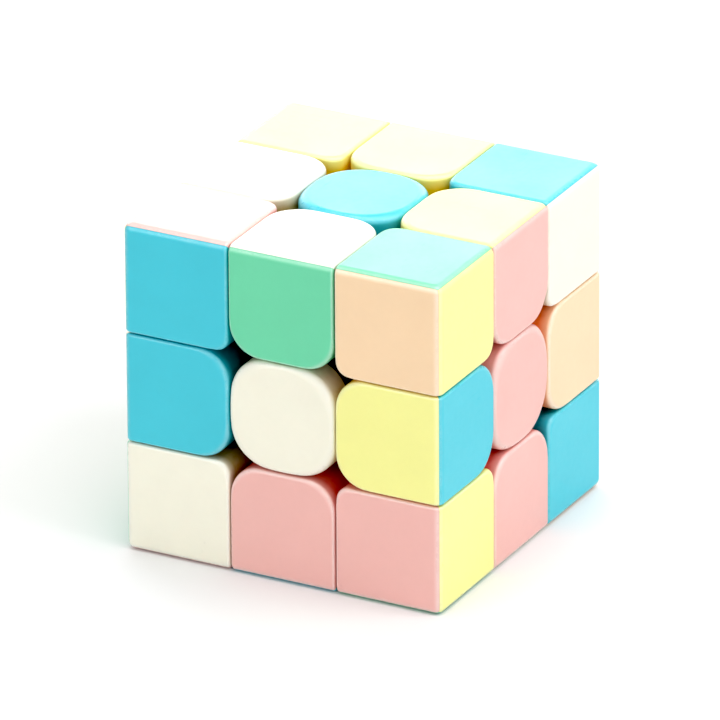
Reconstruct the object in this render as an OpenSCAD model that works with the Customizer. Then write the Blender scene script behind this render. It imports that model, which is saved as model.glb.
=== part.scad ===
// Three-by-three-by-three twisty cube puzzle, colour-moulded plastic pieces.
// Frame: origin at the cube's centre, where the six turning axes meet.
// +Z is the upper face, -Z the lower face it rests on, -Y the front, +X the right.
//
// How it works. A sphere of radius track_r divides the inside. Outside the sphere
// a layer ends at the plane one sixth of the cube from the middle. Inside it the
// layer reaches deeper, to foot_h. Both surfaces are surfaces of revolution about
// every turning axis, so any one face turns freely, and the feet of the corner and
// edge pieces stay trapped under their neighbours.

/* [Cube] */
// Width of the cube across two opposite faces
cube_w = 56; // [54:0.5:60]
// Free gap between neighbouring pieces
gap = 0.26; // [0.2:0.02:0.36]
// Wall thickness of the hollow coloured shells
wall = 1.3; // [1.1:0.1:1.6]
// Width of the seam between two coloured shells of one piece
seam = 0.06; // [0.04:0.01:0.12]

/* [Outlines on the faces] */
// Corner radius of the round-cornered centre caps
centre_r = 6.3; // [4.8:0.1:7.6]
// Radius of the two inner corners of an edge piece
edge_r = 5; // [4:0.1:5.8]
// Radius of the one inner corner of a corner piece
corner_r = 2.2; // [1.8:0.1:2.8]
// Radius along the cube's twelve outer arrises
arris = 1.3; // [1:0.1:1.6]

/* [Spring-loaded centres] */
// How far a centre can be pulled outward against its spring
float_travel = 0.8; // [0.4:0.1:1]
// Shank radius of the tension screws
screw_r = 1.5; // [1.3:0.05:1.6]
// Running clearance round the screw shank
screw_fit = 0.07; // [0.04:0.01:0.1]
// Wire diameter of the springs
wire_d = 0.5; // [0.4:0.05:0.55]
// Number of coils in a spring
coils = 5.5; // [4.5:0.5:6]

/* [Hidden] */
A = cube_w / 2;                // half width
k = A / 28;                    // scale of the inner parts
h = cube_w / 6;                // layer boundary
c = gap / 2;                   // each piece gives up half of the gap
a0 = h + c;                    // inner walls of corner and edge pieces
hx = h - c;                    // half width of edge and centre pieces
foot_h = 5.5 * k;              // depth of a layer inside the track sphere
track_r = 20 * k;              // track sphere
foot_r = 14 * k;               // inner radius of the feet
neck_r = track_r + 1.6 * k;    // where a foot ends and its coloured shells begin
hub_r = 8 * k;                 // core hub
arm_r = 4 * k;                 // core arms
arm_end = 11.2 * k;
floor_z0 = arm_end + 0.2;      // underside of a centre body's floor
floor_z1 = floor_z0 + 2 * k;
spring_solid = (coils + 1) * wire_d;              // height with the coils closed up
washer_z0 = floor_z1 + spring_solid + 1.55 + float_travel;
washer_z1 = washer_z0 + 0.6;    // stamped washer, 0.6 thick
head_z1 = washer_z1 + 2 * k;
stalk_r = 5.2 * k;
well_r = 3.8 * k;
cap_z0 = A - 5.2 * k;          // lower rim of a centre cap
cap_t = 1.6 * k;               // top thickness of a centre cap
bevel = 0.4;                   // bevel on the small rims
L = 2 * cube_w;
$fn = 64;

white_c = "#F5F2DF";
yellow_c = "#FEF69B";
pink_c = "#F0B8B0";
cyan_c = "#4FCBDC";
green_c = "#70D7A9";
peach_c = "#FFD8B4";
inner_c = "#3A3B3E";
steel_c = "#B9BDC2";
spring_c = "#C9CCD0";

// Rectangle from [x0, y0] to [x1, y1]. r holds one value per corner, anticlockwise
// from [x0, y0]: positive is a radius, negative a bevel, zero a sharp corner.
module outline(x0, x1, y0, y1, r) {
    corner = [[x0, y0, 1, 1], [x1, y0, -1, 1], [x1, y1, -1, -1], [x0, y1, 1, -1]];
    difference() {
        translate([x0, y0]) square([x1 - x0, y1 - y0]);
        for (i = [0 : 3])
            if (r[i] > 0)
                translate([corner[i][0], corner[i][1]]) scale_sign(corner[i])
                    difference() {
                        translate([-1, -1]) square(r[i] + 1);
                        translate([r[i], r[i]]) circle(r = r[i]);
                    }
            else if (r[i] < 0)
                translate([corner[i][0], corner[i][1]]) scale_sign(corner[i])
                    polygon([[-1, -1], [-r[i] + 1, -1], [-1, -r[i] + 1]]);
    }
}

module scale_sign(s) mirror([s[2] < 0 ? 1 : 0, 0]) mirror([0, s[3] < 0 ? 1 : 0]) children();

// An XY outline carried along Z, an XZ outline along Y, a YZ outline along X.
module along_z() translate([0, 0, -L]) linear_extrude(2 * L) children();
module along_y() rotate([90, 0, 0]) translate([0, 0, -L]) linear_extrude(2 * L) children();
module along_x() rotate([90, 0, 90]) translate([0, 0, -L]) linear_extrude(2 * L) children();

// ---- the core, its screws, springs and washers ----

module core() color(inner_c)
    difference() {
        union() {
            sphere(r = hub_r);
            for (d = [[0,0,0], [180,0,0], [90,0,0], [-90,0,0], [0,90,0], [0,-90,0]])
                rotate(d) cylinder(r = arm_r, h = arm_end);
        }
        for (d = [[0,0,0], [180,0,0], [90,0,0], [-90,0,0], [0,90,0], [0,-90,0]])
            rotate(d) translate([0, 0, 3.2 * k]) cylinder(r = screw_r + screw_fit, h = arm_end);
    }

// Tension screw along +Z: plain shank, flat head with a cross recess.
module screw()
    difference() {
        union() {
            translate([0, 0, 3.6 * k]) cylinder(r = screw_r, h = washer_z1 + 0.5 - 3.6 * k);
            translate([0, 0, washer_z1 + 0.03]) cylinder(r = 2.8 * k, h = head_z1 - washer_z1 - 0.03);
        }
        for (a = [0, 90])
            rotate([0, 0, a]) translate([-1.8 * k, -0.35, head_z1 - 1.2]) cube([3.6 * k, 0.7, 3]);
    }

module washer()
    translate([0, 0, washer_z0])
        difference() {
            cylinder(r = 3.5 * k, h = washer_z1 - washer_z0);
            translate([0, 0, -1]) cylinder(r = screw_r + screw_fit, h = 4);
        }

// Compression spring along +Z between the centre body's floor and the washer.
spring_z0 = floor_z1 + 0.03 + wire_d / 2;
spring_z1 = washer_z0 - 0.02 - wire_d / 2;
ring_n = 12;
side_n = 6;
ring_count = round(coils * ring_n);
function rise(t) = t < 0.06 ? 0 : t > 0.94 ? 1 : (t - 0.06) / 0.88;
function coil_point(i, j) =
    let (t = i / ring_count, a = 360 * coils * t, b = 360 * j / side_n,
         rr = 2.55 * k + wire_d / 2 * cos(b))
    [rr * cos(a), rr * sin(a), spring_z0 + (spring_z1 - spring_z0) * rise(t) + wire_d / 2 * sin(b)];
module spring()
    polyhedron(
        points = [for (i = [0 : ring_count]) for (j = [0 : side_n - 1]) coil_point(i, j)],
        faces = concat(
            [for (i = [0 : ring_count - 1]) for (j = [0 : side_n - 1])
                let (n = (j + 1) % side_n)
                [i * side_n + j, (i + 1) * side_n + j, (i + 1) * side_n + n]],
            [for (i = [0 : ring_count - 1]) for (j = [0 : side_n - 1])
                let (n = (j + 1) % side_n)
                [i * side_n + j, (i + 1) * side_n + n, i * side_n + n]],
            [[for (j = [0 : side_n - 1]) j]],
            [[for (j = [side_n - 1 : -1 : 0]) ring_count * side_n + j]]));

// ---- centre pieces, along +Z ----

module centre_outline(inset)
    outline(-hx + inset, hx - inset, -hx + inset, hx - inset,
            [centre_r - inset, centre_r - inset, centre_r - inset, centre_r - inset]);

// Round stalk, block with a spherical underside, and the boss the cap clips over.
module centre_body()
    difference() {
        union() {
            translate([0, 0, floor_z0]) cylinder(r = stalk_r, h = track_r + 1 - floor_z0);
            difference() {
                translate([0, 0, 10 * k]) linear_extrude(cap_z0 - 0.05 - 10 * k) centre_outline(0);
                sphere(r = track_r + c);
            }
            translate([0, 0, track_r + 0.8]) linear_extrude(A - cap_t - 0.5 - track_r - 0.8)
                centre_outline(wall + 0.1);
        }
        translate([0, 0, floor_z1]) cylinder(r = well_r, h = A);
        translate([0, 0, floor_z0 - 1]) cylinder(r = screw_r + screw_fit, h = A);
    }

module centre_cap()
    difference() {
        translate([0, 0, cap_z0]) linear_extrude(A - cap_z0) centre_outline(0);
        translate([0, 0, cap_z0 - 1]) linear_extrude(A - cap_t - cap_z0 + 1) centre_outline(wall);
    }

// ---- edge pieces, between the +Y and +Z faces ----

module edge_block(i)
    intersection() {
        along_z() outline(-hx + i, hx - i, a0 + i, A - i, [edge_r - i, edge_r - i, -bevel, -bevel]);
        along_y() outline(-hx + i, hx - i, a0 + i, A - i, [edge_r - i, edge_r - i, -bevel, -bevel]);
        along_x() outline(a0 + i, A - i, a0 + i, A - i, [0, 0, max(arris - i, 0.4), 0]);
    }

module edge_foot()
    difference() {
        union() {
            // neck and skirt outside the track sphere
            difference() {
                intersection() {
                    edge_block(0);
                    sphere(r = neck_r);
                }
                sphere(r = track_r + c);
            }
            // foot inside the track sphere
            intersection() {
                translate([-foot_h + c, foot_h + c, foot_h + c])
                    cube([2 * foot_h - 2 * c, A, A]);
                sphere(r = track_r - c);
            }
            // web that joins the two, and the plug inside the shells
            intersection() {
                edge_block(0);
                translate([-foot_h + c, 0, 0]) cube([2 * foot_h - 2 * c, A, A]);
                sphere(r = neck_r);
            }
            intersection() {
                edge_block(wall + 0.12);
                translate([-A, 0, 0]) cube([2 * A, a0 + wall + 6 * k, a0 + wall + 6 * k]);
                difference() {
                    sphere(r = L);
                    sphere(r = track_r + 0.6);
                }
            }
        }
        sphere(r = foot_r);
    }

// Coloured shell on the +Z side of the 45 degree seam.
module edge_shell()
    difference() {
        intersection() {
            edge_block(0);
            rotate([45, 0, 0]) translate([-L / 2, -L / 2, seam / 2]) cube(L);
        }
        edge_block(wall);
        sphere(r = neck_r + 0.08);
    }

module edge_piece(side_c, top_c) {
    color(top_c) edge_shell();
    color(side_c) mirror([0, 1, -1]) edge_shell();
    color(inner_c) edge_foot();
}

// ---- corner pieces, in the +X +Y +Z octant ----

module corner_block(i)
    intersection() {
        along_z() outline(a0 + i, A - i, a0 + i, A - i, [corner_r - i, -bevel, max(arris - i, 0.4), -bevel]);
        along_y() outline(a0 + i, A - i, a0 + i, A - i, [corner_r - i, -bevel, max(arris - i, 0.4), -bevel]);
        along_x() outline(a0 + i, A - i, a0 + i, A - i, [corner_r - i, -bevel, max(arris - i, 0.4), -bevel]);
    }

module corner_foot()
    difference() {
        union() {
            intersection() {
                corner_block(0);
                sphere(r = neck_r);
            }
            intersection() {
                translate([foot_h + c, foot_h + c, foot_h + c]) cube(A);
                sphere(r = track_r - c);
            }
            intersection() {
                corner_block(wall + 0.12);
                translate([0, 0, 0]) cube(a0 + wall + 6 * k);
            }
        }
        sphere(r = foot_r);
    }

// Coloured shell of the +Z face, bounded by the two 45 degree seams.
module corner_shell()
    difference() {
        intersection() {
            corner_block(0);
            rotate([0, -45, 0]) translate([-L / 2, -L / 2, seam / 2]) cube(L);
            rotate([45, 0, 0]) translate([-L / 2, -L / 2, seam / 2]) cube(L);
        }
        corner_block(wall);
        sphere(r = neck_r + 0.08);
    }

module corner_shells(x_c, y_c, z_c) {
    color(z_c) corner_shell();
    color(x_c) rotate(120, [1, 1, 1]) corner_shell();
    color(y_c) rotate(240, [1, 1, 1]) corner_shell();
}

// ---- the named pieces in their places ----

module tension_screw_up() color(steel_c) rotate([0,0,0]) screw();
module tension_screw_down() color(steel_c) rotate([180,0,0]) screw();
module tension_screw_front() color(steel_c) rotate([90,0,0]) screw();
module tension_screw_back() color(steel_c) rotate([-90,0,0]) screw();
module tension_screw_right() color(steel_c) rotate([0,90,0]) screw();
module tension_screw_left() color(steel_c) rotate([0,-90,0]) screw();
module spring_up() color(spring_c) rotate([0,0,0]) spring();
module spring_down() color(spring_c) rotate([180,0,0]) spring();
module spring_front() color(spring_c) rotate([90,0,0]) spring();
module spring_back() color(spring_c) rotate([-90,0,0]) spring();
module spring_right() color(spring_c) rotate([0,90,0]) spring();
module spring_left() color(spring_c) rotate([0,-90,0]) spring();
module washer_up() color(steel_c) rotate([0,0,0]) washer();
module washer_down() color(steel_c) rotate([180,0,0]) washer();
module washer_front() color(steel_c) rotate([90,0,0]) washer();
module washer_back() color(steel_c) rotate([-90,0,0]) washer();
module washer_right() color(steel_c) rotate([0,90,0]) washer();
module washer_left() color(steel_c) rotate([0,-90,0]) washer();
module centre_body_up() color(inner_c) rotate([0,0,0]) centre_body();
module centre_body_down() color(inner_c) rotate([180,0,0]) centre_body();
module centre_body_front() color(inner_c) rotate([90,0,0]) centre_body();
module centre_body_back() color(inner_c) rotate([-90,0,0]) centre_body();
module centre_body_right() color(inner_c) rotate([0,90,0]) centre_body();
module centre_body_left() color(inner_c) rotate([0,-90,0]) centre_body();
module centre_cap_up() color(cyan_c) rotate([0,0,0]) centre_cap();
module centre_cap_down() color(green_c) rotate([180,0,0]) centre_cap();
module centre_cap_front() color(white_c) rotate([90,0,0]) centre_cap();
module centre_cap_back() color(yellow_c) rotate([-90,0,0]) centre_cap();
module centre_cap_right() color(pink_c) rotate([0,90,0]) centre_cap();
module centre_cap_left() color(peach_c) rotate([0,-90,0]) centre_cap();
module edge_up_back() rotate([0,0,0]) rotate([0,0,0]) edge_piece(green_c, yellow_c);
module edge_up_left() rotate([0,0,90]) rotate([0,0,0]) edge_piece(peach_c, white_c);
module edge_up_front() rotate([0,0,180]) rotate([0,0,0]) edge_piece(green_c, white_c);
module edge_up_right() rotate([0,0,270]) rotate([0,0,0]) edge_piece(pink_c, yellow_c);
module edge_down_front() rotate([0,0,0]) rotate([180,0,0]) edge_piece(pink_c, cyan_c);
module edge_down_right() rotate([0,0,90]) rotate([180,0,0]) edge_piece(pink_c, white_c);
module edge_down_back() rotate([0,0,180]) rotate([180,0,0]) edge_piece(green_c, pink_c);
module edge_down_left() rotate([0,0,270]) rotate([180,0,0]) edge_piece(green_c, peach_c);
module edge_back_right() rotate([0,0,0]) rotate([0,90,0]) edge_piece(cyan_c, peach_c);
module edge_back_left() rotate([0,0,90]) rotate([0,90,0]) edge_piece(yellow_c, peach_c);
module edge_front_left() rotate([0,0,180]) rotate([0,90,0]) edge_piece(cyan_c, white_c);
module edge_front_right() rotate([0,0,270]) rotate([0,90,0]) edge_piece(cyan_c, yellow_c);
module corner_up_back_right_shells() rotate([0,0,0]) corner_shells(white_c, pink_c, cyan_c);
module corner_up_back_right_foot() color(inner_c) rotate([0,0,0]) corner_foot();
module corner_up_back_left_shells() rotate([0,0,90]) corner_shells(peach_c, cyan_c, yellow_c);
module corner_up_back_left_foot() color(inner_c) rotate([0,0,90]) corner_foot();
module corner_up_front_left_shells() rotate([0,0,180]) corner_shells(yellow_c, cyan_c, pink_c);
module corner_up_front_left_foot() color(inner_c) rotate([0,0,180]) corner_foot();
module corner_up_front_right_shells() rotate([0,0,270]) corner_shells(peach_c, yellow_c, green_c);
module corner_up_front_right_foot() color(inner_c) rotate([0,0,270]) corner_foot();
module corner_down_front_right_shells() rotate([0,0,0]) rotate([180,0,0]) corner_shells(yellow_c, pink_c, green_c);
module corner_down_front_right_foot() color(inner_c) rotate([0,0,0]) rotate([180,0,0]) corner_foot();
module corner_down_back_right_shells() rotate([0,0,90]) rotate([180,0,0]) corner_shells(white_c, cyan_c, peach_c);
module corner_down_back_right_foot() color(inner_c) rotate([0,0,90]) rotate([180,0,0]) corner_foot();
module corner_down_back_left_shells() rotate([0,0,180]) rotate([180,0,0]) corner_shells(green_c, white_c, peach_c);
module corner_down_back_left_foot() color(inner_c) rotate([0,0,180]) rotate([180,0,0]) corner_foot();
module corner_down_front_left_shells() rotate([0,0,270]) rotate([180,0,0]) corner_shells(white_c, green_c, pink_c);
module corner_down_front_left_foot() color(inner_c) rotate([0,0,270]) rotate([180,0,0]) corner_foot();

core();
tension_screw_up();
tension_screw_down();
tension_screw_front();
tension_screw_back();
tension_screw_right();
tension_screw_left();
spring_up();
spring_down();
spring_front();
spring_back();
spring_right();
spring_left();
washer_up();
washer_down();
washer_front();
washer_back();
washer_right();
washer_left();
centre_body_up();
centre_body_down();
centre_body_front();
centre_body_back();
centre_body_right();
centre_body_left();
centre_cap_up();
centre_cap_down();
centre_cap_front();
centre_cap_back();
centre_cap_right();
centre_cap_left();
edge_up_back();
edge_up_left();
edge_up_front();
edge_up_right();
edge_down_front();
edge_down_right();
edge_down_back();
edge_down_left();
edge_back_right();
edge_back_left();
edge_front_left();
edge_front_right();
corner_up_back_right_shells();
corner_up_back_left_shells();
corner_up_front_left_shells();
corner_up_front_right_shells();
corner_down_front_right_shells();
corner_down_back_right_shells();
corner_down_back_left_shells();
corner_down_front_left_shells();
corner_up_back_right_foot();
corner_up_back_left_foot();
corner_up_front_left_foot();
corner_up_front_right_foot();
corner_down_front_right_foot();
corner_down_back_right_foot();
corner_down_back_left_foot();
corner_down_front_left_foot();
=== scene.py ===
import math

import bmesh
import bpy
import numpy as np
from mathutils import Matrix, Vector


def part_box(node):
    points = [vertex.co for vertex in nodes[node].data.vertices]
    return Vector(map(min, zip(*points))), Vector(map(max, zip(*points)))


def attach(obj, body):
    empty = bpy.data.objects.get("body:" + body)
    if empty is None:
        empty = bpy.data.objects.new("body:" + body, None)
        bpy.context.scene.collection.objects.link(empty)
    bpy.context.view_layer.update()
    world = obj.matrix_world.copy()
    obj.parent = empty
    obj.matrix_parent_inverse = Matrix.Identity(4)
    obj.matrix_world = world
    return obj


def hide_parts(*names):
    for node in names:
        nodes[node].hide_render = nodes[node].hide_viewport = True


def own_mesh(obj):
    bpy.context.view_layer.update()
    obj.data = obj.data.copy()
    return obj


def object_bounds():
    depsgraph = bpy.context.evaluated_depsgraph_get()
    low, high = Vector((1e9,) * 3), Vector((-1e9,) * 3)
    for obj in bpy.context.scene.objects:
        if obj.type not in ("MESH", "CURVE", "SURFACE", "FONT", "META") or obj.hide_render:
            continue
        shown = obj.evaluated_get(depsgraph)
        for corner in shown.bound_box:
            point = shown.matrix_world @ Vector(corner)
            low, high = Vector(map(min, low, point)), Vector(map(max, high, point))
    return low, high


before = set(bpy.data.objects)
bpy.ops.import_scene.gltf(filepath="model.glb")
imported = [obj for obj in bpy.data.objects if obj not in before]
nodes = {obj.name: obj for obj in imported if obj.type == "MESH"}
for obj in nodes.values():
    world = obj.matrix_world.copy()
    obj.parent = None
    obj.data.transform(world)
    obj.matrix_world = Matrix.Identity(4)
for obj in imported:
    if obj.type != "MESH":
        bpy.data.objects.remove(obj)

cad_lo, cad_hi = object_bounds()
scene = bpy.context.scene
MM = 1000.0

# ---------------------------------------------------------------- sizes, in mm, read from the frame
A = cad_hi.x * MM                                        # half width of the cube
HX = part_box("centre_cap_up")[1].x * MM                   # half width of a centre or edge face
A0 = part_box("corner_up_back_right_shells")[0].x * MM     # inner wall of corner and edge pieces
CAP_Z0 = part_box("centre_cap_up")[0].z * MM               # lower rim of a centre cap
_c = np.array([v.co for v in nodes["corner_up_back_right_shells"].data.vertices]) * MM
RN = float(np.linalg.norm(_c, axis=1).min())             # sphere at which the coloured walls end
WALL = 1.3
RA = 1.38                                                # radius along the cube's arrises
SEAM = 0.016                                             # hairline between two coloured shells
GS = SEAM / math.sqrt(2)

AX = {"up": (0, 0, 1), "down": (0, 0, -1), "front": (0, -1, 0),
      "back": (0, 1, 0), "right": (1, 0, 0), "left": (-1, 0, 0)}
AX = {k: np.array(v, float) for k, v in AX.items()}


# ---------------------------------------------------------------- rim model
def rounded_sdf(x0, x1, y0, y1, r):
    """Signed distance to a rectangle whose four corners have radius r."""
    cx, cy, hx, hy = (x0 + x1) / 2, (y0 + y1) / 2, (x1 - x0) / 2, (y1 - y0) / 2

    def f(p):
        qx, qy = abs(p[0] - cx) - hx + r, abs(p[1] - cy) - hy + r
        return math.hypot(max(qx, 0), max(qy, 0)) + min(max(qx, qy), 0) - r
    return f


def inset_to(p, d, sdf, far=4.0):
    """How far from p along d the outline of sdf lies."""
    a, b = 0.0, far
    for _ in range(40):
        m = (a + b) / 2
        if sdf((p[0] + d[0] * m, p[1] + d[1] * m)) > 0:
            a = m
        else:
            b = m
    return (a + b) / 2


def rim_depth(t):
    return min(0.24 + 0.60 * t, 1.35)


PHI = [math.radians(90 * i / 8) for i in range(9)]
ARRIS_STEPS = 7
THETA_B = math.acos(SEAM / 2 / RA) - math.radians(45)


def rim_points(B, n, d, t):
    """From the flat of the face, over the rounded rim, to the top of the wall."""
    fd = rim_depth(t)
    B, n, d = np.array(B, float), np.array(n, float), np.array(d, float)
    return [B + d * t * (1 - math.sin(a)) - n * fd * (1 - math.cos(a)) for a in PHI]


class Build:
    def __init__(self):
        self.v, self.f, self.tag = [], [], []

    def pts(self, ps):
        i = len(self.v)
        self.v += [tuple(float(c) for c in p) for p in ps]
        return list(range(i, i + len(ps)))

    def grid(self, rows, tag=0):
        """Quads between successive rows of points. All rows have the same length."""
        ids = [self.pts(r) for r in rows]
        for a, b in zip(ids, ids[1:]):
            for i in range(len(a) - 1):
                self.f.append((a[i], a[i + 1], b[i + 1], b[i]))
                self.tag.append(tag)

    def poly(self, ps, tag=0):
        self.f.append(tuple(self.pts(ps)))
        self.tag.append(tag)


def clean(build, name):
    """A closed bmesh in mm: doubles merged, slivers dissolved, normals outward."""
    me = bpy.data.meshes.new(name)
    me.from_pydata(build.v, [], build.f)
    bm = bmesh.new()
    bm.from_mesh(me)
    bpy.data.meshes.remove(me)
    bmesh.ops.remove_doubles(bm, verts=bm.verts, dist=2e-4)
    bmesh.ops.dissolve_degenerate(bm, edges=bm.edges, dist=2e-4)
    seen, extra = set(), []
    for f in bm.faces:
        k = tuple(sorted(v.index for v in f.verts))
        if k in seen:
            extra.append(f)
        seen.add(k)
    if extra:
        bmesh.ops.delete(bm, geom=extra, context="FACES")
    bmesh.ops.recalc_face_normals(bm, faces=bm.faces)
    return bm


def wall_rows(p, bottom):
    """Four points down a wall, the second one where the painted shade of the gap reaches its fullest tone."""
    p, bottom = np.array(p), np.array(bottom)
    k = min(max((p[2] - (A - 2.3)) / max(p[2] - bottom[2], 1e-6), 0.1), 0.8)
    return [p + (bottom - p) * i for i in (0, k, (1 + k) / 2, 1)]


def shell(stations, corner=None, roof=None, closed=False, z_end=None):
    """A hollow shell under one face. stations run along the face's wall outline: (B, n, d, t, on_arris), with
    the first and last ones on the seams unless the outline is closed."""
    roof = A - WALL if roof is None else roof
    b = Build()
    rims, walls, inner = [], [], []
    for B, n, d, t, lam in stations:
        rim = rim_points(B, n, d, t)
        rims.append(rim)
        p = rim[-1]

        def zb(x, y):
            if z_end is not None:
                return z_end
            s = RN * RN - x * x - y * y
            low = math.sqrt(s) if s > 0 else 0.0
            low = max(low, y + GS)
            if corner:
                low = max(low, x + GS)
            return low
        walls.append(wall_rows(p, (p[0], p[1], min(zb(p[0], p[1]), p[2]))))
        q = np.array([B[0] + d[0] * WALL, B[1] + d[1] * WALL])
        if lam > 0:
            q = np.array([p[0] + d[0] * WALL, p[1] + d[1] * WALL])
        if not closed:
            q[1] = min(q[1], roof - GS)
            if corner:
                q[0] = min(q[0], roof - GS)
        inner.append(wall_rows((q[0], q[1], roof), (q[0], q[1], min(zb(q[0], q[1]), roof))))
    lip = [[w[-1], i[-1]] for w, i in zip(walls, inner)]
    if closed:
        for rows in (rims, walls, inner, lip):
            rows.append(rows[0])
    b.grid(rims, 1)
    b.grid(walls, 2)
    b.grid(inner, 3)
    b.grid(lip, 3)
    return b, rims, inner


def arris_lambda():
    return [i / ARRIS_STEPS for i in range(ARRIS_STEPS, 0, -1)]


def straight(a, b, step=1.1):
    n = max(2, int(round(abs(b - a) / step)))
    return [a + (b - a) * i / n for i in range(n + 1)]


# ---------------------------------------------------------------- the three moulded shapes
def make_cap():
    R, RT, INS = 6.3, 8.0, 0.8
    T = rounded_sdf(-HX + INS, HX - INS, -HX + INS, HX - INS, RT)
    st = []
    for q in range(4):
        c, s = [(1, 0), (0, 1), (-1, 0), (0, -1)][q]

        def rot(x, y):
            return np.array([c * x - s * y, s * x + c * y])
        for y in straight(-(HX - R), HX - R, 0.8)[:-1]:
            P, N = rot(HX, y), rot(1, 0)
            st.append((P, N))
        for i in range(20):
            a = math.radians(90 * i / 20)
            P = rot(HX - R + R * math.cos(a), HX - R + R * math.sin(a))
            st.append((P, rot(math.cos(a), math.sin(a))))
    stations = []
    for P, N in st:
        t = inset_to(P, -N, T)
        stations.append(((P[0], P[1], A), (0, 0, 1), (-N[0], -N[1], 0), t, 0))
    b, rims, inner = shell(stations, roof=A - 1.6, closed=True, z_end=CAP_Z0)
    b.poly([r[0] for r in rims[:-1]])
    b.poly([i[0] for i in inner[:-1]], 3)
    return clean(b, "cap")


def make_edge():
    """Shell on +Z of the edge piece between the +Y and +Z faces."""
    R, RT, IL, II = 5.0, 5.8, 0.45, 0.6
    T = rounded_sdf(-HX + IL, HX - IL, A0 + II, A0 + II + 60, RT)
    st = []
    for sg in (1, -1):
        part = []
        for lam in arris_lambda():
            tb, tn = THETA_B * lam, math.radians(45) * lam
            part.append(((sg * HX, A - RA + RA * math.sin(tb), A - RA + RA * math.cos(tb)),
                         (0, math.sin(tn), math.cos(tn)), (-sg, 0, 0), None, lam))
        for y in straight(A - RA, A0 + R):
            part.append(((sg * HX, y, A), (0, 0, 1), (-sg, 0, 0), None, 0))
        for i in range(1, 21):
            a = math.radians(90 * i / 20)
            part.append(((sg * (HX - R + R * math.cos(a)), A0 + R - R * math.sin(a), A), (0, 0, 1),
                         (-sg * math.cos(a), math.sin(a), 0), None, 0))
        st.append(part)
    mid = [((x, A0, A), (0, 0, 1), (0, 1, 0), None, 0) for x in straight(HX - R, -(HX - R))[1:-1]]
    path = st[0] + mid + st[1][::-1]
    stations = [(B, n, d, IL if lam > 0 else inset_to(B, d, T), lam) for B, n, d, _, lam in path]
    b, rims, inner = shell(stations)
    k = ARRIS_STEPS
    flat = rims[k:len(rims) - k]
    b.poly([r[0] for r in flat])
    for i in range(k):
        b.grid([[rims[i][0], rims[-1 - i][0]], [rims[i + 1][0], rims[-2 - i][0]]], 1)
    b.poly(rims[0][::-1] + rims[-1] + [inner[-1][0], inner[0][0]], 3)
    b.poly([i[0] for i in inner], 3)
    return clean(b, "edge")


def make_corner():
    """Shell on +Z of the corner piece in the +X +Y +Z octant."""
    R, RT, IL = 2.2, 2.9, 0.5
    T = rounded_sdf(A0 + IL, A0 + IL + 60, A0 + IL, A0 + IL + 60, RT)
    one = []
    for lam in arris_lambda():
        tb, tn = THETA_B * lam, math.radians(45) * lam
        one.append(((A - RA + RA * math.sin(tb), A0, A - RA + RA * math.cos(tb)),
                    (math.sin(tn), 0, math.cos(tn)), (0, 1, 0), None, lam))
    for x in straight(A - RA, A0 + R):
        one.append(((x, A0, A), (0, 0, 1), (0, 1, 0), None, 0))
    for i in range(1, 7):
        a = math.radians(90 * i / 12)
        one.append(((A0 + R - R * math.sin(a), A0 + R - R * math.cos(a), A), (0, 0, 1),
                    (math.sin(a), math.cos(a), 0), None, 0))
    sw = lambda v: (v[1], v[0], v[2])
    two = [(sw(B), sw(n), sw(d), t, lam) for B, n, d, t, lam in one[:-1]][::-1]
    stations = [(B, n, d, IL if lam > 0 else inset_to(B, d, T), lam) for B, n, d, _, lam in one + two]
    b, rims, inner = shell(stations, corner=True)
    k = ARRIS_STEPS
    O = np.array([A - RA] * 3)
    lams = [i / k for i in range(k + 1)]

    def ball(u, v):
        d = np.array([math.tan(THETA_B * u), math.tan(THETA_B * v), 1.0])
        return O + RA * d / np.linalg.norm(d)
    b.poly([r[0] for r in rims[k:len(rims) - k]] + [ball(0, 0)])
    for i in range(k):
        b.grid([[rims[i][0], ball(lams[k - i], 0)], [rims[i + 1][0], ball(lams[k - i - 1], 0)]], 1)
        b.grid([[rims[-1 - i][0], ball(0, lams[k - i])], [rims[-2 - i][0], ball(0, lams[k - i - 1])]], 1)
    b.grid([[ball(u, v) for v in lams] for u in lams], 1)
    roof = A - WALL
    C = np.array([roof - GS, roof - GS, roof])
    b.poly(rims[0][::-1] + [ball(1, v) for v in lams] + [C, inner[0][0]], 3)
    b.poly(rims[-1][::-1] + [ball(v, 1) for v in lams] + [C, inner[-1][0]], 3)
    b.poly([i[0] for i in inner] + [C], 3)
    return clean(b, "corner")


def report(bm, name):
    open_edges = sum(1 for e in bm.edges if len(e.link_faces) != 2)
    print(f"shape {name}: {len(bm.verts)} vertices, {len(bm.faces)} faces, {open_edges} open edges, {bm.calc_volume():.1f} mm3")


cap_bm, edge_bm, corner_bm = make_cap(), make_edge(), make_corner()
for _b, _n in ((cap_bm, "cap"), (edge_bm, "edge"), (corner_bm, "corner")):
    report(_b, _n)


# ---------------------------------------------------------------- materials
def srgb(h):
    h = h.lstrip("#")
    out = []
    for i in (0, 2, 4):
        c = int(h[i:i + 2], 16) / 255
        out.append(c / 12.92 if c <= 0.04045 else ((c + 0.055) / 1.055) ** 2.4)
    return out


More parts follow.
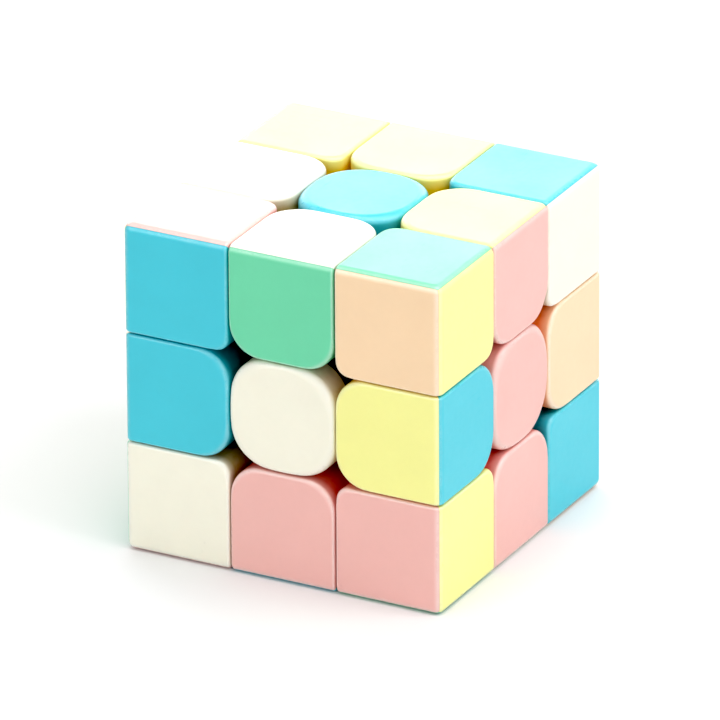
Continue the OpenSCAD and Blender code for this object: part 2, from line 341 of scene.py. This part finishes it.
class Tree:
    def __init__(self, name):
        self.mat = bpy.data.materials.new(name)
        self.mat.use_nodes = True
        self.nt = self.mat.node_tree
        self.nt.nodes.clear()
        self.out = self.nt.nodes.new("ShaderNodeOutputMaterial")
        self.bsdf = self.nt.nodes.new("ShaderNodeBsdfPrincipled")
        self.nt.links.new(self.bsdf.outputs[0], self.out.inputs[0])

    def new(self, kind, **kw):
        n = self.nt.nodes.new(kind)
        for k, v in kw.items():
            setattr(n, k, v)
        return n

    def link(self, a, b):
        self.nt.links.new(a, b)

    def put(self, socket, value):
        if isinstance(value, bpy.types.NodeSocket):
            self.link(value, socket)
        else:
            socket.default_value = value

    def math(self, op, a, b=0.0, c=0.0, clamp=False):
        n = self.new("ShaderNodeMath", operation=op, use_clamp=clamp)
        for s, v in zip(n.inputs, (a, b, c)):
            self.put(s, v)
        return n.outputs[0]

    def mix(self, f, a, b):
        n = self.new("ShaderNodeMix", data_type="RGBA")
        self.put(n.inputs["Factor"], f)
        self.put(n.inputs["A"], a)
        self.put(n.inputs["B"], b)
        return n.outputs["Result"]

    def span(self, v, a, b, c, d):
        n = self.new("ShaderNodeMapRange", clamp=True)
        for s, x in zip(n.inputs, (v, a, b, c, d)):
            self.put(s, x)
        return n.outputs[0]

    def noise(self, at, scale, detail=2.0, rough=0.5, distort=0.0):
        n = self.new("ShaderNodeTexNoise")
        self.put(n.inputs["Vector"], at)
        self.put(n.inputs["Scale"], scale)
        self.put(n.inputs["Detail"], detail)
        self.put(n.inputs["Roughness"], rough)
        self.put(n.inputs["Distortion"], distort)
        return n.outputs["Fac"]

    def cells(self, at, scale, feature="F1"):
        n = self.new("ShaderNodeTexVoronoi", feature=feature)
        self.put(n.inputs["Vector"], at)
        self.put(n.inputs["Scale"], scale)
        return n.outputs["Distance"]

    def turned(self, at, rot, scale):
        n = self.new("ShaderNodeMapping")
        self.put(n.inputs["Vector"], at)
        n.inputs["Rotation"].default_value = rot
        n.inputs["Scale"].default_value = scale
        return n.outputs[0]


def rgba(c):
    return (*c[:3], 1.0)


def shade(c, f):
    return [min(max(x * f, 0.0), 1.0) for x in c]


def toward(c, w, f):
    return [x + (y - x) * f for x, y in zip(c, w)]


def plastic(name, base, cloudy, gap_shade_colour, rim_highlight, rough=0.34, sss=0.18):
    """Moulded ABS, coloured through: faint mottling and specks, polished rims with a little wear, fine scratches. The
    rims are painted paler as a highlight, and the walls down in the gaps are painted darker as shade.
    """
    t = Tree(name)
    at = t.new("ShaderNodeTexCoord").outputs["Object"]
    rim = t.new("ShaderNodeAttribute", attribute_name="rim").outputs["Fac"]
    cloud = t.noise(at, 95, 3, 0.55)
    grain = t.noise(at, 900, 4, 0.6)
    fine = t.noise(at, 4200, 3, 0.6)
    # colour: cloudy pigment, fine mottle, rare darker specks, rims painted paler as a highlight and a touch more
    # where they rub
    colour = t.mix(t.span(cloud, 0.32, 0.70, 0.0, 1.0), rgba(base), rgba(cloudy))
    colour = t.mix(t.span(grain, 0.35, 0.75, 0.0, 0.10), colour, rgba(shade(base, 0.86)))
    speck = t.cells(at, 330)
    rare = t.span(t.noise(at, 140, 1, 0.5), 0.60, 0.64, 0.0, 1.0)
    mask = t.math("MULTIPLY", t.span(speck, 0.05, 0.10, 1.0, 0.0), rare)
    colour = t.mix(t.math("MULTIPLY", mask, 0.14), colour, rgba(shade(base, 0.62)))
    rub = t.math("MULTIPLY", rim, t.span(t.noise(at, 420, 4, 0.65), 0.42, 0.66, 0.0, 1.0))
    # painted highlight: the rims are painted paler toward white, with a little more where rub wear is added
    highlight_and_wear = t.math("ADD", t.math("MULTIPLY", rim, rim_highlight), t.math("MULTIPLY", rub, 0.12))
    colour = t.mix(highlight_and_wear, colour, rgba(toward(base, (0.97, 0.97, 0.95), 0.80)))
    # painted shade: the walls down in the gaps are painted darker and fuller in tone, standing in for shadow with
    # coloured bounce light
    depth = t.new("ShaderNodeAttribute", attribute_name="depth").outputs["Fac"]
    colour = t.mix(t.math("ADD", depth, t.math("MULTIPLY", depth, t.span(grain, 0.3, 0.7, -0.12, 0.0)), clamp=True), colour, rgba(gap_shade_colour))
    t.link(colour, t.bsdf.inputs["Base Color"])
    # two sets of hair-fine scratches
    scratches = None
    for rot, sc in (((0.3, 0.5, 0.9), (1, 14, 14)), ((1.1, 0.2, 2.2), (18, 1, 18))):
        line = t.noise(t.turned(at, rot, sc), 55, 1, 0.4)
        edge = t.span(t.math("ABSOLUTE", t.math("SUBTRACT", line, 0.5)), 0.0, 0.012, 1.0, 0.0)
        gate = t.span(t.noise(t.turned(at, rot, (1, 1, 1)), 160, 2, 0.5), 0.56, 0.66, 0.0, 1.0)
        both = t.math("MULTIPLY", edge, gate)
        scratches = both if scratches is None else t.math("MAXIMUM", scratches, both)
    r = t.span(cloud, 0.3, 0.7, rough - 0.035, rough + 0.045)
    r = t.math("ADD", r, t.span(grain, 0.3, 0.7, -0.03, 0.03))
    r = t.math("SUBTRACT", r, t.math("MULTIPLY", rim, 0.07))
    r = t.math("ADD", r, t.math("MULTIPLY", scratches, 0.12), clamp=True)
    t.link(r, t.bsdf.inputs["Roughness"])
    h = t.math("ADD", t.math("MULTIPLY", fine, 0.35), t.math("MULTIPLY", grain, 0.8))
    h = t.math("ADD", h, t.math("MULTIPLY", t.noise(at, 240, 2, 0.5), 1.2))
    h = t.math("SUBTRACT", h, t.math("MULTIPLY", scratches, 0.9))
    bump = t.new("ShaderNodeBump")
    bump.inputs["Strength"].default_value = 0.35
    bump.inputs["Distance"].default_value = 0.000012
    t.link(h, bump.inputs["Height"])
    t.link(bump.outputs[0], t.bsdf.inputs["Normal"])
    t.bsdf.inputs["IOR"].default_value = 1.52
    t.bsdf.inputs["Subsurface Weight"].default_value = sss
    t.bsdf.inputs["Subsurface Radius"].default_value = (1.0, 0.8, 0.7)
    t.bsdf.inputs["Subsurface Scale"].default_value = 0.0009
    t.mat.diffuse_color = rgba(base)
    return t.mat


def inner_plastic(name, base):
    """Plain moulded plastic of the hidden pieces, with a light film of grease."""
    t = Tree(name)
    at = t.new("ShaderNodeTexCoord").outputs["Object"]
    cloud = t.noise(at, 160, 4, 0.55)
    film = t.noise(at, 75, 5, 0.6, 0.6)
    colour = t.mix(t.span(cloud, 0.35, 0.7, 0.0, 1.0), rgba(base), rgba(shade(base, 0.90)))
    colour = t.mix(t.span(film, 0.5, 0.7, 0.0, 0.35), colour, rgba(shade(base, 0.80)))
    t.link(colour, t.bsdf.inputs["Base Color"])
    t.link(t.span(film, 0.42, 0.66, 0.50, 0.26), t.bsdf.inputs["Roughness"])
    bump = t.new("ShaderNodeBump")
    bump.inputs["Strength"].default_value = 0.3
    bump.inputs["Distance"].default_value = 0.00002
    t.link(t.noise(at, 2200, 4, 0.6), bump.inputs["Height"])
    t.link(bump.outputs[0], t.bsdf.inputs["Normal"])
    t.mat.diffuse_color = rgba(base)
    return t.mat


def metal(name, base, rough, stretch, scale):
    """Steel with fine drawing or turning marks."""
    t = Tree(name)
    at = t.new("ShaderNodeTexCoord").outputs["Object"]
    marks = t.noise(t.turned(at, (0, 0, 0), stretch), scale, 4, 0.65)
    spots = t.noise(at, 380, 4, 0.6)
    colour = t.mix(t.span(marks, 0.35, 0.68, 0.0, 1.0), rgba(base), rgba(shade(base, 0.78)))
    colour = t.mix(t.span(spots, 0.58, 0.74, 0.0, 0.4), colour, rgba(shade(base, 0.62)))
    t.link(colour, t.bsdf.inputs["Base Color"])
    t.bsdf.inputs["Metallic"].default_value = 1.0
    t.link(t.span(marks, 0.3, 0.7, rough, rough + 0.16), t.bsdf.inputs["Roughness"])
    bump = t.new("ShaderNodeBump")
    bump.inputs["Strength"].default_value = 0.35
    bump.inputs["Distance"].default_value = 0.00001
    t.link(marks, bump.inputs["Height"])
    t.link(bump.outputs[0], t.bsdf.inputs["Normal"])
    t.mat.diffuse_color = rgba(base)
    return t.mat


# each tone: the plastic's own colour, then the darker, fuller colour painted onto the walls down in the gaps as shade
TONES = {
    "cream_white": ("#F5F2DF", "#B0964E"), "yellow": ("#FEF598", "#FFCC00"), "pink": ("#F0B8B0", "#DE443C"),
    "cyan": ("#3BC8DA", "#0C6C7C"), "mint": ("#69D6A7", "#1B8E5E"), "peach": ("#FFD6AE", "#FF7A30"),
}
PLASTIC = {}
for _k, (_h, _gap_shade_hex) in TONES.items():
    _b = [min(x, 0.93) for x in srgb(_h)]
    # the last number sets how strongly each plastic's rims are painted paler as a highlight
    PLASTIC[_k] = plastic("plastic_" + _k, _b, shade(_b, 0.965), srgb(_gap_shade_hex), {"cyan": 0.10, "mint": 0.28, "yellow": 0.22}.get(_k, 0.34))
INNER = inner_plastic("inner_plastic", srgb("#3A3B3E"))
SCREW = metal("screw_steel", srgb("#C9CCD0"), 0.16, (1, 1, 1), 700)
WASHER = metal("washer_steel", srgb("#BCBFC4"), 0.28, (1, 12, 1), 300)
SPRING = metal("spring_steel", srgb("#A9AEB4"), 0.22, (1, 1, 1), 1500)


# ---------------------------------------------------------------- placing
def as_object(bm, name, axes, material, body, replaces=()):
    """A copy of bm in the frame: local x, y, z along the three axes, millimetres to metres."""
    X, Y, Z = axes
    M = Matrix([[X[i], Y[i], Z[i]] for i in range(3)])
    assert M.determinant() > 0.99
    me = bpy.data.meshes.new(name)
    b2 = bm.copy()
    b2.normal_update()
    # rim marks the rounded rims of the face: it drives their painted highlight, their rub wear and their lower
    # roughness
    rim = [4 * v.normal.z ** 2 * (1 - v.normal.z ** 2) if v.normal.z > 0 else 0.0 for v in b2.verts]
    face_z = max(v.co.z for v in b2.verts)
    # how far below the face each vertex lies sets the painted shade in the gaps, which is weaker on the centre caps
    cap_gap_shade_scale = 0.45 if name.startswith("cap_") else 1.0
    gap_shade_weight = [cap_gap_shade_scale * min(max((face_z - v.co.z - 0.35) / 1.4, 0.0), 1.0) for v in b2.verts]
    bmesh.ops.transform(b2, matrix=Matrix.Diagonal((1 / MM,) * 3 + (1,)) @ M.to_4x4(), verts=b2.verts)
    for f in b2.faces:
        f.smooth = True
    b2.to_mesh(me)
    b2.free()
    att = me.attributes.new("rim", "FLOAT", "POINT")
    att.data.foreach_set("value", np.array(rim, np.float32))
    att = me.attributes.new("depth", "FLOAT", "POINT")
    att.data.foreach_set("value", np.array(gap_shade_weight, np.float32))
    me.set_sharp_from_angle(angle=math.radians(32))
    o = bpy.data.objects.new(name, me)
    scene.collection.objects.link(o)
    wn = o.modifiers.new("weighted", "WEIGHTED_NORMAL")
    wn.mode, wn.keep_sharp, wn.weight = "FACE_AREA", True, 90
    me.materials.append(material)
    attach(o, body)
    if replaces:
        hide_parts(*replaces)
    return o


def frame_for(z, y=None):
    Z = AX[z]
    Y = AX[y] if y else (np.array((0.0, 1, 0)) if abs(Z[1]) < 0.5 else np.array((0.0, 0, 1)))
    return np.cross(Y, Z), Y, Z


CAPS = {"up": "cyan", "down": "mint", "front": "cream_white", "back": "yellow", "right": "pink", "left": "peach"}
W, Y_, R_, B_, G_, O_ = "cream_white", "yellow", "pink", "cyan", "mint", "peach"
EDGES = {
    ("up", "front"): (W, G_), ("up", "right"): (Y_, R_), ("up", "left"): (W, O_), ("up", "back"): (Y_, G_),
    ("down", "front"): (B_, R_), ("down", "right"): (W, R_), ("down", "left"): (O_, G_), ("down", "back"): (R_, G_),
    ("front", "right"): (Y_, B_), ("front", "left"): (B_, W), ("back", "right"): (B_, O_), ("back", "left"): (O_, Y_),
}
CORNERS = {
    ("up", "front", "right"): (G_, O_, Y_), ("up", "front", "left"): (R_, B_, Y_),
    ("up", "back", "left"): (Y_, O_, B_), ("up", "back", "right"): (B_, R_, W),
    ("down", "front", "right"): (G_, R_, Y_), ("down", "front", "left"): (R_, W, G_),
    ("down", "back", "left"): (O_, W, G_), ("down", "back", "right"): (O_, W, B_),
}

for f, tone in CAPS.items():
    as_object(cap_bm, f"cap_{f}", frame_for(f), PLASTIC[tone], f"centre_{f}", [f"centre_cap_{f}"])

for (f, g), tones in EDGES.items():
    node = f"edge_{f}_{g}"
    for a, b, tone in ((f, g, tones[0]), (g, f, tones[1])):
        as_object(edge_bm, f"{node}_shell_{a}", frame_for(a, b), PLASTIC[tone], node, [node])

for faces, tones in CORNERS.items():
    node = "corner_" + "_".join(faces)
    for i in range(3):
        a, b, c = faces[i], faces[(i + 1) % 3], faces[(i + 2) % 3]
        X, Y = AX[b], AX[c]
        if np.dot(np.cross(X, Y), AX[a]) < 0:
            X, Y = Y, X
        as_object(corner_bm, f"{node}_shell_{a}", (X, Y, AX[a]), PLASTIC[tones[i]], node, [f"{node}_shells"])


# ---------------------------------------------------------------- inner pieces
def foot_of(node):
    """The foot among an edge node's three solids: the one that comes nearest to the middle."""
    bm = bmesh.new()
    bm.from_mesh(nodes[node].data)
    bmesh.ops.remove_doubles(bm, verts=bm.verts, dist=1e-7)
    left, best = set(bm.verts), None
    while left:
        stack, part = [left.pop()], []
        while stack:
            v = stack.pop()
            part.append(v)
            for e in v.link_edges:
                o = e.other_vert(v)
                if o in left:
                    left.remove(o)
                    stack.append(o)
        near = min(v.co.length for v in part)
        if best is None or near < best[0]:
            best = (near, part)
    keep = set(best[1])
    bmesh.ops.delete(bm, geom=[v for v in bm.verts if v not in keep], context="VERTS")
    bmesh.ops.dissolve_limit(bm, angle_limit=math.radians(0.6), verts=bm.verts, edges=bm.edges)
    return bm


for (f, g) in EDGES:
    node = f"edge_{f}_{g}"
    bm = foot_of(node)
    me = bpy.data.meshes.new(node + "_foot")
    for fc in bm.faces:
        fc.smooth = True
    bm.to_mesh(me)
    bm.free()
    me.set_sharp_from_angle(angle=math.radians(32))
    o = bpy.data.objects.new(node + "_foot", me)
    scene.collection.objects.link(o)
    wn = o.modifiers.new("weighted", "WEIGHTED_NORMAL")
    wn.mode, wn.keep_sharp = "FACE_AREA", True
    me.materials.append(INNER)
    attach(o, node)
    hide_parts(node)


def helix(coils, radius, wire, z0, z1, per_turn=28, sides=12):
    """Round-wire compression spring with closed, flat ends."""
    n = int(round(coils * per_turn))
    rings = []
    for i in range(n + 1):
        t = i / n
        a = 2 * math.pi * coils * t
        up = 0.0 if t < 0.06 else 1.0 if t > 0.94 else (t - 0.06) / 0.88
        up = up * up * (3 - 2 * up) * 0.35 + up * 0.65
        c = np.array([radius * math.cos(a), radius * math.sin(a), z0 + (z1 - z0) * up])
        out = np.array([math.cos(a), math.sin(a), 0.0])
        w = wire / 2 * (0.55 + 0.45 * min(1.0, min(t, 1 - t) * 40))
        rings.append([c + w * (math.cos(s) * out + math.sin(s) * np.array([0, 0, 1.0]))
                      for s in (2 * math.pi * j / sides for j in range(sides))])
    b = Build()
    b.grid([r + [r[0]] for r in rings])
    b.poly(rings[0])
    b.poly(rings[-1])
    return clean(b, "spring")


def screw_shape(z_tip, z_head, z_top, shank=1.5, head=2.8):
    """Machine screw: rolled thread, plain neck, pan head; the cross recess is cut into the head afterwards."""
    pitch, seg = 0.6, 24
    rows = []
    zs = list(np.arange(z_tip, z_head - 6.0, pitch / 8)) + list(np.linspace(z_head - 6.0, z_head, 6))
    for z in zs:
        row = []
        for j in range(seg + 1):
            a = 2 * math.pi * j / seg
            ph = ((z - z_tip) / pitch - j / seg) % 1.0
            tooth = abs(ph - 0.5) * 2
            depth = 0.27 * min(1.0, max(0.0, (z_head - 6.0 - z) / 0.8))
            r = shank - depth * (1 - min(1.0, tooth * 1.25))
            r = min(r, shank - 0.35 + (z - z_tip) * 0.8)
            row.append((r * math.cos(a), r * math.sin(a), z))
        rows.append(row)
    prof = [(shank, z_head), (head - 0.12, z_head), (head - 0.03, z_head + 0.04), (head, z_head + 0.13)]
    rr = 0.75
    for i in range(7):
        a = math.radians(90 * i / 6)
        prof.append((head - rr + rr * math.cos(a), z_top - rr + rr * math.sin(a)))
    prof.append((0.9, z_top))
    for r, z in prof[1:]:
        rows.append([(r * math.cos(2 * math.pi * j / seg), r * math.sin(2 * math.pi * j / seg), z) for j in range(seg + 1)])
    b = Build()
    b.grid(rows)
    b.poly(rows[0][:-1])
    b.poly(rows[-1][:-1])
    return clean(b, "screw")


def cross_cutter(z_top):
    """Tapered cross for the recess."""
    b = bmesh.new()
    for turn in (0, 90):
        vs = []
        for z, l, w in ((z_top - 1.15, 0.75, 0.22), (z_top + 0.3, 1.75, 0.36)):
            for sx, sy in ((-1, -1), (1, -1), (1, 1), (-1, 1)):
                x, y = sx * l, sy * w
                if turn:
                    x, y = -y, x
                vs.append(b.verts.new((x, y, z)))
        for q in ((3, 2, 1, 0), (4, 5, 6, 7), (0, 1, 5, 4), (1, 2, 6, 5), (2, 3, 7, 6), (3, 0, 4, 7)):
            b.faces.new([vs[i] for i in q])
    bmesh.ops.recalc_face_normals(b, faces=b.faces)
    return b


def cut(bm, tool_bm):
    """bm minus the tool, by an exact boolean."""
    objs = []
    for x in (bm, tool_bm):
        me = bpy.data.meshes.new("cut")
        x.to_mesh(me)
        o = bpy.data.objects.new("cut", me)
        scene.collection.objects.link(o)
        objs.append(o)
    m = objs[0].modifiers.new("cut", "BOOLEAN")
    m.operation, m.solver, m.object, m.use_self = "DIFFERENCE", "EXACT", objs[1], True
    dg = bpy.context.evaluated_depsgraph_get()
    me = bpy.data.meshes.new_from_object(objs[0].evaluated_get(dg))
    out = bmesh.new()
    out.from_mesh(me)
    for o in objs:
        bpy.data.objects.remove(o)
    bpy.data.meshes.remove(me)
    return out


_s_lo, _s_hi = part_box("tension_screw_up")
_p_lo, _p_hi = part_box("spring_up")
_w_lo, _w_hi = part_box("washer_up")
WIRE = 0.5
screw_bm = cut(screw_shape(_s_lo.z * MM, _w_hi.z * MM + 0.03, _s_hi.z * MM), cross_cutter(_s_hi.z * MM))
spring_bm = helix(5.5, 2.55, WIRE, _p_lo.z * MM + WIRE / 2, _p_hi.z * MM - WIRE / 2)
report(screw_bm, "screw")
report(spring_bm, "spring")

for f in AX:
    as_object(screw_bm, f"screw_{f}", frame_for(f), SCREW, f"screw_{f}", [f"tension_screw_{f}"])
    sp = as_object(spring_bm, f"coil_spring_{f}", frame_for(f), SPRING, f"turn_{f}", [f"spring_{f}"])
    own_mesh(sp)

for name, o in nodes.items():
    if o.hide_render:
        continue
    me = o.data
    me.materials.clear()
    me.materials.append(WASHER if name.startswith("washer") else INNER)

# ---------------------------------------------------------------- floor, light, camera
floor_mat = Tree("studio_floor")
_at = floor_mat.new("ShaderNodeTexCoord").outputs["Object"]
floor_mat.link(floor_mat.mix(floor_mat.noise(_at, 6, 3, 0.5), (0.73, 0.73, 0.73, 1), (0.75, 0.75, 0.75, 1)),
               floor_mat.bsdf.inputs["Base Color"])
floor_mat.bsdf.inputs["Roughness"].default_value = 0.8
floor_mat.bsdf.inputs["Specular IOR Level"].default_value = 0.2
bm = bmesh.new()
bmesh.ops.create_grid(bm, x_segments=24, y_segments=24, size=2.2)
me = bpy.data.meshes.new("floor")
bm.to_mesh(me)
bm.free()
floor = bpy.data.objects.new("floor", me)
floor.location = (0, 0, cad_lo.z - 0.00005)
scene.collection.objects.link(floor)
me.materials.append(floor_mat.mat)

world = bpy.data.worlds.new("studio")
scene.world = world
world.use_nodes = True
world.node_tree.nodes["Background"].inputs[0].default_value = (1.0, 1.0, 1.0, 1)
world.node_tree.nodes["Background"].inputs[1].default_value = 0.30


def area(name, at, to, size, power, colour=(1, 1, 1)):
    L = bpy.data.lights.new(name, "AREA")
    L.shape, L.size, L.size_y, L.energy, L.color = "RECTANGLE", size[0], size[1], power, colour
    o = bpy.data.objects.new(name, L)
    o.location = at
    o.rotation_euler = (Vector(to) - Vector(at)).to_track_quat("-Z", "Y").to_euler()
    scene.collection.objects.link(o)
    return o


area("overhead", (0.07, -0.06, 0.60), (0, 0, 0), (0.5, 0.5), 2.7)
area("front_left", (-0.36, -0.76, 0.38), (0, 0, 0), (0.46, 0.42), 1.96)
area("front_right", (0.50, -0.46, 0.30), (0, 0, 0), (0.4, 0.4), 0.9)
area("side_right", (0.42, 0.05, 0.46), (0, 0, 0), (0.4, 0.4), 1.98)
area("back_panel", (-0.30, 0.55, 0.26), (0, 0, 0.0), (0.8, 0.42), 4.0)

scene.view_settings.view_transform = "Standard"
scene.view_settings.look = "None"
scene.view_settings.use_curve_mapping = True
scene.view_settings.curve_mapping.black_level = (0.014, 0.014, 0.014)
scene.view_settings.curve_mapping.update()

az, el, roll, dist, f_px = math.radians(27.833), math.radians(24.111), math.radians(-0.328), 2.0, 12671.0
tx, tz = -0.678 / MM, -0.783 / MM
look = Vector((-math.sin(az) * math.cos(el), math.cos(az) * math.cos(el), -math.sin(el)))
right = Vector((math.cos(az), math.sin(az), 0))
up = right.cross(look)
cam = bpy.data.cameras.new("camera")
cam.sensor_width = 36.0
cam.lens = f_px * 36.0 / 720.0
cam.clip_start, cam.clip_end = 0.05, 20.0
cam_ob = bpy.data.objects.new("camera", cam)
r2 = math.cos(roll) * right + math.sin(roll) * up
u2 = -math.sin(roll) * right + math.cos(roll) * up
eye = -look * dist + right * tx + up * tz
m = Matrix((r2, u2, -look)).transposed().to_4x4()
m.translation = eye
cam_ob.matrix_world = m
scene.collection.objects.link(cam_ob)
scene.camera = cam_ob
